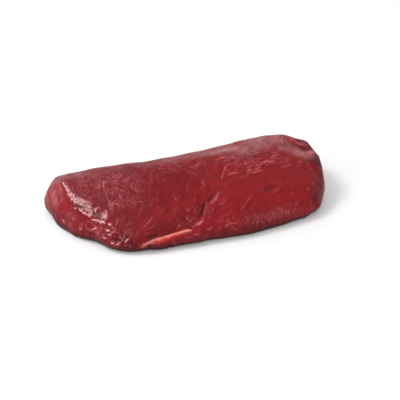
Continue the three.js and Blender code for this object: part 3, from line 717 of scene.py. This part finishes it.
def nearest_on(path, points, normals):
    """Distance to a line over the skin, the share of it passed, and the side a point lies on."""
    path = np.asarray(path, float)
    best = np.full(len(points), np.inf)
    passed = np.zeros(len(points))
    side = np.ones(len(points))
    for i in range(len(path) - 1):
        run = path[i + 1] - path[i]
        off = points - path[i]
        s = np.clip((off @ run) / (run @ run), 0, 1)
        off = off - s[:, None] * run
        distance = np.linalg.norm(off, axis=1)
        closer = distance < best
        best[closer] = distance[closer]
        passed[closer] = ((i + s) / (len(path) - 1))[closer]
        side[closer] = np.sign(np.einsum("ij,ij->i", np.cross(normals, run), off))[closer]
    return best, passed, side


def bell(distance, reach):
    return np.exp(-((distance / reach) ** 2))


def smooth_step(x, low, high):
    t = np.clip((x - low) / (high - low), 0, 1)
    return t * t * (3 - 2 * t)


def taper(passed, share=TAPER):
    return smooth_step(np.minimum(passed, 1 - passed) / share, 0, 1)


def flap_relief(points, normals):
    distance, passed, side = nearest_on(FLAP["path"], points, normals)
    below = 0.5 - 0.5 * np.tanh(side * distance / FLAP["across"])
    fade = 1 - smooth_step(distance, 0, FLAP["reach"])
    return (FLAP["out"] * below - FLAP["back"] * (1 - below)) * fade * taper(passed)


def waves(table, points):
    return sum(np.sin(points @ np.array(row[:3]) + row[3]) for row in table) / len(table)


def main_relief(points, normals):
    height = LUMP_HEIGHT * waves(LUMP_WAVES, points)
    height += flap_relief(points, normals)
    for reach, depth, *path in GROOVES:
        distance, passed, _ = nearest_on(path, points, normals)
        height -= depth * bell(distance, reach) * taper(passed)
    return height


def zone_share(skin, pixels, reach):
    """1 on a line through the zone, falling to 0 with distance."""
    distance, _, _ = nearest_on(skin.line(pixels), skin.points, skin.normals)
    return bell(distance, reach)


def uneven(points, level, share, size, seed):
    return level + share * lattice_noise(points, size, SEED + seed)


def between_ends(values, passed):
    """One value, or values spaced evenly from end to end, at the shares passed."""
    values = np.atleast_1d(values)
    return np.interp(passed, np.linspace(0, 1, len(values)), values)


def gleam_share(skin):
    """The painted highlight bands along the ridge, with a clear edge on both sides."""
    ragged = uneven(skin.points, *GLEAM_NOISE)
    total = np.zeros(len(skin.points))
    for widths, *pixels in GLEAM_BANDS:
        distance, passed, _ = nearest_on(skin.line(pixels), skin.points, skin.normals)
        edge = between_ends(widths, passed) * ragged
        total = np.maximum(total, 1 - smooth_step(distance / edge, *GLEAM_EDGE))
    return total


def tint_fields(skin):
    fields = {}
    ragged = uneven(skin.points, *TINT_NOISE)
    for name, zones in TINTS.items():
        total = np.zeros(len(skin.points))
        for reach, strength, *pixels in zones:
            total = np.maximum(total, strength * zone_share(skin, pixels, reach))
        fields[name] = np.clip(total * ragged, 0, 1)
    return fields


def flap_fields(points, normals):
    """The raw pale rim of the flap, and the painted shade in the gap above it."""
    distance, passed, side = nearest_on(FLAP_EDGE + SEAM[:1], points, normals)
    reach = np.where(side < 0, RIM_BELOW - RIM_LOSS * passed, RIM_ABOVE)
    rim = bell(distance, reach) * smooth_step(passed, *RIM_START)
    gap = np.where(side > 0, bell(distance - GAP_OFF, GAP_REACH), 0) * taper(passed, GAP_ENDS) * GAP_TONE
    return rim, gap


def add_marks(skin, height, pale, dark):
    broken = np.clip(uneven(skin.points, *MARK_NOISE), 0, 1)
    for width, rise, tone, *pixels in MARKS:
        width, rise, tone = map(np.divide, (width, rise, tone), MARK_UNITS)
        line = skin.line(pixels)
        reach = MARK_SPAN * np.max(width)
        inside = (skin.points > line.min(0) - reach) & (skin.points < line.max(0) + reach)
        near = np.flatnonzero(inside.all(1))
        distance, passed, _ = nearest_on(line, skin.points[near], skin.normals[near])
        from_end = np.minimum(passed, 1 - passed) * np.linalg.norm(np.diff(line, axis=0), axis=1).sum()
        full = MARK_END + (1 - MARK_END) * smooth_step(from_end, 0, MARK_END_LENGTH)
        profile = bell(distance, between_ends(width, passed)) * full
        height[near] += between_ends(rise, passed) * profile
        strength = between_ends(tone, passed) * profile * broken[near]
        pale[near] = np.maximum(pale[near], strength)
        dark[near] = np.maximum(dark[near], -strength)


def add_strewn(skin, steps, height, pale, dark):
    random = np.random.default_rng(SEED)
    cell = np.linalg.norm(np.cross(*np.gradient(skin.top, axis=(0, 1))), axis=-1).ravel()
    for pixels, reach, spread, *kinds in STREWN:
        weight = cell if pixels is None else cell * zone_share(skin, pixels, reach)[:skin.count]
        for count, lengths, width, rise, tone in kinds:
            picked = random.choice(skin.count, size=count, p=weight / weight.sum())
            starts = np.stack(np.unravel_index(picked, skin.shape), axis=-1)
            turns = np.radians(random.normal(0, spread, count))
            paths, share = walked(starts, turns, random.uniform(*lengths, count), steps)
            field = skin.widen(stamped(skin, paths, share, width))
            height += rise * field
            pale += max(tone, 0) * field
            dark += max(-tone, 0) * field


# Fillet

# Coarse and fine fibres: noise size, and reach along the fibres, in millimetres.
FIBRE_NOISE = ((2.6, 11), (1.3, 7))
FIBRE_HEIGHT, FINE_HEIGHT, FINE_SHARE = 0.02, 0.012, 0.6

# Soft swells all over, and wrinkles on the wet zones.
SWELL_SIZE, SWELL_HEIGHT = 15, 0.3
WRINKLE_SIZE, WRINKLE_HEIGHT = 4.5, 0.5

# Smoother zones, as a reach and pixels, and how much of the fine grain goes there.
CALM = [(24, 245, 188, 300, 190), (13, 155, 187, 195, 187)]
CALM_LOSS = 0.6

# Painted shade by height above the floor, darker towards the floor: the two heights that each fades between,
# and its strength.
FOOT_SHADE, FOOT_STRENGTH = (1.5, 10), 0.9
CONTACT_SHADE, CONTACT_STRENGTH = (2, 8), 0.96

# The painted shade down the seam's crack: reach, share of its tapering ends, and strength.
SEAM_REACH, SEAM_ENDS, SEAM_STRENGTH = 0.9, 0.3, 0.5


def low_share(points, heights):
    """1 below the first height, falling to 0 at the second."""
    return 1 - smooth_step(points[:, 2], *heights)


def skin_fields(skin):
    """The relief's height over the skin, and the fields that the material reads."""
    points, normals = skin.points, skin.normals
    steps = fibre_steps(skin)
    coarse, fine = (
        streaked(lattice_noise(points[:skin.count], size, SEED + k).reshape(skin.shape), steps[0], reach)
        for k, (size, reach) in enumerate(FIBRE_NOISE)
    )
    fields = tint_fields(skin)
    # Painted shade towards the floor, in the maroon colour.
    fields["maroon_and_shade"] = np.maximum(fields["maroon_and_shade"], FOOT_STRENGTH * low_share(points, FOOT_SHADE))
    pale, dark = np.zeros(len(points)), np.zeros(len(points))
    height = main_relief(points, normals)
    height += SWELL_HEIGHT * lattice_noise(points, SWELL_SIZE, SEED + 2)
    height += skin.widen(FIBRE_HEIGHT * coarse + FINE_HEIGHT * fine)
    crumple = 1 - 2 * np.abs(lattice_noise(points, WRINKLE_SIZE, SEED + 5))
    height += WRINKLE_HEIGHT * fields["wet"] * crumple
    add_marks(skin, height, pale, dark)
    add_strewn(skin, steps, height, pale, dark)
    height[skin.foot] = 0
    fields["flap"], gap = flap_fields(points, normals)
    # Painted shade down the seam's crack and along the floor's contact, with the gap's painted shade above
    # the flap.
    distance, passed, _ = nearest_on(SEAM, points, normals)
    seam = SEAM_STRENGTH * bell(distance, SEAM_REACH) * taper(passed, SEAM_ENDS)
    contact = CONTACT_STRENGTH * low_share(points, CONTACT_SHADE)
    calm = np.maximum.reduce([zone_share(skin, pixels, reach) for reach, *pixels in CALM])
    fields["pale"] = pale
    fields["dark"] = np.maximum.reduce([dark, gap, contact, seam])
    fields["gleam"] = gleam_share(skin)
    fields["rough"] = 1 - CALM_LOSS * calm
    fields["fibre"] = skin.widen(coarse + FINE_SHARE * fine) * fields["rough"]
    return height, fields


def fillet_mesh():
    skin = Skin()
    height, fields = skin_fields(skin)
    points = skin.points + skin.normals * height[:, None]
    points[:, 2] = np.maximum(points[:, 2], 0)
    points[:, :2] -= ORIGIN
    mesh = bpy.data.meshes.new("fillet_skin")
    faces = [tuple(q) for q in skin.quads.tolist()] + [tuple(skin.foot[::-1].tolist())]
    mesh.from_pydata((points * MM).tolist(), [], faces)
    mesh.polygons.foreach_set("use_smooth", [True] * len(faces))
    for name, field in fields.items():
        layer = mesh.attributes.new(name, "FLOAT", "POINT")
        layer.data.foreach_set("value", np.asarray(field, dtype=np.float32))
    mesh.update()
    return mesh


# Material

DEEP_RED = (0.155, 0.0015, 0.0035)
BRIGHT_RED = (0.245, 0.005, 0.009)
MAUVE = (0.165, 0.011, 0.019)
# Also the painted shade towards the floor and along the foot.
MAROON = (0.07, 0.0015, 0.005)
CRIMSON = (0.29, 0.003, 0.021)
VIVID = (0.50, 0.010, 0.020)
# Painted sheen.
PAINTED_SHEEN = (0.365, 0.165, 0.178)
PALE = (0.61, 0.16, 0.168)
# Also the painted shade in the seam, above the flap and at the floor.
DARK = (0.042, 0.001, 0.002)
SALMON = (0.86, 0.26, 0.215)
# Painted highlight on the ridge bands, and below, on the palest marks.
GLEAM = (0.71, 0.38, 0.37)
GLINT = (0.90, 0.56, 0.54)
TAN = (0.28, 0.15, 0.11)
HALF_RED = tuple(0.5 * (deep + bright) for deep, bright in zip(DEEP_RED, BRIGHT_RED))
ZONE_COLOURS = {"bright": BRIGHT_RED, "mauve": MAUVE, "crimson": CRIMSON, "maroon_and_shade": MAROON, "vivid": VIVID}
SHADER_VALUES = {
    "Specular IOR Level": 0.17, "Subsurface Weight": 0.12, "Subsurface Radius": (1.0, 0.25, 0.2),
    "Subsurface Scale": 0.004,
}
BUMP_SIZE, BUMP_STRENGTH, BUMP_DISTANCE = 1.1, 0.2, 0.3 * MM
WET_SHINE = 0.2

# Patches of noise: size in millimetres, the limits that it is read between, and what they are brought to.
PATCHES = {
    "ground": (14, 0.38, 0.62, 0, 1), "light grit": (1.3, 0.56, 0.72, 0, 0.1),
    "dark grit": (1.5, 0.28, 0.44, 0.2, 0), "painted_sheen": (3.5, 0.3, 0.7, 0.38, 0.83),
    "mottle": (3, 0.38, 0.54, 0.5, 0), "cloud": (4.4, 0.46, 0.66, 0, 0.25),
    "vein": (6, 0.40, 0.54, 0.05, 0.9), "fleck grit": (2, 0.3, 0.7, -0.9, 0.9),
    "fleck": (3.5, 0.4, 0.6, 0.75, 1), "tan": (1.9, 0.46, 0.58, 0, 0.8),
    "pale": (1.1, 0.36, 0.64, 0.58, 1.7), "salmon": (2.6, 0.42, 0.56, 0.1, 1),
    "dark": (1.4, 0.36, 0.64, 0.82, 1.45), "dull": (6, 0.35, 0.65, 0.40, 0.52),
}

# The veins' noise size, and how far from its middle they end.
VEIN_SIZE, VEIN_EDGE = 2.8, 0.035

# The gleam at which flecks are in full, and the levels between which they show.
FLECK_GLEAM, FLECK_LEVELS = 0.3, (0.45, 1.25)

# The lighter side of the fibres' grain, and how much stronger the darker side is.
GRAIN, GRAIN_DARKER = 0.02, 1.6

# The pale above which marks take the painted highlight colour, and the most that the dark covers.
GLINT_FROM, DARK_MOST = 0.8, 0.96


class Nodes:
    """Short ways to add nodes to a material. Most give back the new node's output."""

    def __init__(self, tree):
        self.tree = tree

    def add(self, kind, **settings):
        node = self.tree.nodes.new("ShaderNode" + kind)
        for name, value in settings.items():
            setattr(node, name, value)
        return node

    def feed(self, socket, value):
        """Sets a socket to a number or a colour, or links an output to it."""
        if isinstance(value, tuple):
            socket.default_value = (*value, 1)
        elif isinstance(value, (int, float)):
            socket.default_value = value
        else:
            self.tree.links.new(value, socket)

    def attribute(self, name):
        return self.add("Attribute", attribute_name=name).outputs["Fac"]

    def mixed(self, factor, first, second):
        """A mix of two colours, each a colour or an output."""
        node = self.add("Mix", data_type="RGBA")
        for k, value in ((0, factor), (6, first), (7, second)):
            self.feed(node.inputs[k], value)
        return node.outputs[2]

    def maths(self, operation, first, second, clamp=False):
        node = self.add("Math", operation=operation, use_clamp=clamp)
        self.feed(node.inputs[0], first)
        self.feed(node.inputs[1], second)
        return node.outputs[0]

    def noise(self, size, detail=3, roughness=0.55):
        """Noise over the object with features of a size in millimetres."""
        node = self.add("TexNoise")
        self.feed(node.inputs["Vector"], self.add("TexCoord").outputs["Object"])
        for name, value in (("Scale", 1 / (size * MM)), ("Detail", detail), ("Roughness", roughness)):
            self.feed(node.inputs[name], value)
        return node.outputs["Fac"]

    def ranged(self, value, low, high, to_low, to_high):
        """A value between two limits, brought between two others."""
        node = self.add("MapRange")
        for socket, part in zip(node.inputs, (value, low, high, to_low, to_high)):
            self.feed(socket, part)
        return node.outputs["Result"]

    def patches(self, kind, **grain):
        size, *limits = PATCHES[kind]
        return self.ranged(self.noise(size, **grain), *limits)

    def broken(self, field, kind, **grain):
        """A field broken up by patches of a kind."""
        share = self.patches(kind, **grain)
        return self.maths("MULTIPLY", self.attribute(field), share)


def vein_share(nodes):
    """Pale clouds and fine winding lines on the mottled zones, the lines where a noise crosses its middle."""
    cloud = nodes.patches("cloud", roughness=0.65)
    off = nodes.maths("ABSOLUTE", nodes.maths("SUBTRACT", nodes.noise(VEIN_SIZE, detail=2), 0.5), 0)
    patchy = nodes.patches("vein")
    vein = nodes.maths("MULTIPLY", nodes.ranged(off, 0, VEIN_EDGE, 1, 0), patchy)
    return nodes.maths("MULTIPLY", nodes.attribute("mottle"), nodes.maths("MAXIMUM", cloud, vein))


def fleck_share(nodes):
    """Flecks of painted highlight, closest together in the middle of the highlight bands."""
    gleam = nodes.attribute("gleam")
    grit = nodes.patches("fleck grit", detail=4, roughness=0.75)
    level = nodes.ranged(nodes.maths("ADD", gleam, grit), *FLECK_LEVELS, 0, 1)
    fleck = nodes.maths("MULTIPLY", level, nodes.ranged(gleam, 0, FLECK_GLEAM, 0, 1))
    return nodes.maths("MULTIPLY", fleck, nodes.patches("fleck"))


def meat_colour(nodes):
    """Layers over a deep red ground, each as its share and its colour, from the ground up."""
    grain = nodes.maths("MULTIPLY", nodes.attribute("fibre"), GRAIN)
    pale = nodes.broken("pale", "pale")
    salmon = nodes.broken("salmon", "salmon")
    dark = nodes.broken("dark", "dark")
    layers = [(nodes.patches("ground"), HALF_RED)]
    # Zone tints; the maroon one is partly painted shade.
    layers += [(nodes.attribute(name), tint) for name, tint in ZONE_COLOURS.items()]
    layers += [
        (nodes.maths("MAXIMUM", grain, 0), PALE),
        (nodes.maths("MAXIMUM", nodes.maths("MULTIPLY", grain, -GRAIN_DARKER), 0), DARK),
        (nodes.broken("rough", "light grit"), PALE),
        (nodes.broken("rough", "dark grit"), DARK),
        # Painted sheen.
        (nodes.broken("painted_sheen", "painted_sheen"), PAINTED_SHEEN),
        (nodes.broken("mottle", "mottle", roughness=0.65), MAROON),
        (vein_share(nodes), PALE),
        # Painted highlight flecks on the ridge bands.
        (fleck_share(nodes), GLEAM),
        (nodes.broken("tan", "tan"), TAN),
        # Pale marks, and on the strongest of them the painted highlight colour.
        (nodes.maths("MINIMUM", pale, 1), PALE),
        (nodes.maths("SUBTRACT", pale, GLINT_FROM, clamp=True), GLINT),
        (nodes.maths("MAXIMUM", nodes.attribute("flap"), salmon), SALMON),
        # Dark marks, with the painted shade in the seam, above the flap and at the floor.
        (nodes.maths("MINIMUM", dark, DARK_MOST), DARK),
    ]
    colour = DEEP_RED
    for share, tint in layers:
        colour = nodes.mixed(share, colour, tint)
    return colour


def meat_material():
    material = bpy.data.materials.new("raw_meat")
    material.use_nodes = True
    nodes = Nodes(material.node_tree)
    shader = material.node_tree.nodes["Principled BSDF"]
    for name, value in SHADER_VALUES.items():
        shader.inputs[name].default_value = value
    dull = nodes.patches("dull")
    shine = nodes.maths("MULTIPLY", nodes.attribute("wet"), WET_SHINE)
    bump = nodes.add("Bump")
    nodes.feed(bump.inputs["Strength"], BUMP_STRENGTH)
    nodes.feed(bump.inputs["Distance"], BUMP_DISTANCE)
    nodes.feed(bump.inputs["Height"], nodes.noise(BUMP_SIZE, detail=4))
    nodes.feed(shader.inputs["Base Color"], meat_colour(nodes))
    nodes.feed(shader.inputs["Roughness"], nodes.maths("SUBTRACT", dull, shine))
    nodes.feed(shader.inputs["Normal"], bump.outputs["Normal"])
    return material


def add_fillet():
    piece = bpy.data.objects.new("fillet_meat", fillet_mesh())
    bpy.context.collection.objects.link(piece)
    piece.data.materials.append(meat_material())
    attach(piece, "root")
    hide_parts("fillet")


# Stage: floor, light and camera

FLOOR_SIZE, FLOOR_COLOUR, FLOOR_ROUGHNESS = 8, (0.88, 0.88, 0.88, 1), 0.9
WORLD_STRENGTH = 0.8
SENSOR = 36.0

# Lamps: name, direction, distance and size in metres, power, and whether the gloss mirrors them.
LIGHTS = [
    ("key", (-0.52, 0.25, 0.78), 1.3, 0.4, 7.0, True),
    ("left", (-0.9, -0.2, 0.4), 1.5, 1.0, 4.0, False),
    ("back", (0.33, 0.90, 0.28), 1.4, 0.8, 2.0, True),
    ("front", (-0.1, -0.8, 0.6), 1.5, 1.2, 2.0, False),
]


def add_floor():
    bpy.ops.mesh.primitive_plane_add(size=FLOOR_SIZE)
    floor = bpy.context.active_object
    floor.name = "floor"
    material = bpy.data.materials.new("pale_floor")
    material.use_nodes = True
    shader = material.node_tree.nodes["Principled BSDF"]
    shader.inputs["Base Color"].default_value = FLOOR_COLOUR
    shader.inputs["Roughness"].default_value = FLOOR_ROUGHNESS
    floor.data.materials.append(material)


def add_world():
    world = bpy.data.worlds.new("studio")
    world.use_nodes = True
    background = world.node_tree.nodes["Background"]
    background.inputs["Color"].default_value = (1, 1, 1, 1)
    background.inputs["Strength"].default_value = WORLD_STRENGTH
    bpy.context.scene.world = world


def add_lamp(name, direction, distance, size, power, mirrored):
    data = bpy.data.lights.new(name, "AREA")
    data.shape = "DISK"
    data.size = size
    data.energy = power
    lamp = bpy.data.objects.new(name, data)
    lamp.visible_glossy = mirrored
    away = Vector(direction).normalized()
    lamp.location = away * distance
    lamp.rotation_euler = (-away).to_track_quat("-Z", "Y").to_euler()
    bpy.context.collection.objects.link(lamp)


def add_camera():
    right, down, ahead = view_axes()
    data = bpy.data.cameras.new("camera")
    data.sensor_width = SENSOR
    data.lens = FOCAL_PIXELS / PHOTO_SIZE * SENSOR
    camera = bpy.data.objects.new("camera", data)
    turn = Matrix((right, -down, -ahead)).transposed()
    camera.matrix_world = Matrix.Translation(Vector(camera_place() * MM)) @ turn.to_4x4()
    bpy.context.collection.objects.link(camera)
    bpy.context.scene.camera = camera


add_fillet()
add_floor()
add_world()
for light in LIGHTS:
    add_lamp(*light)
add_camera()
bpy.context.scene.view_settings.view_transform = "Standard"
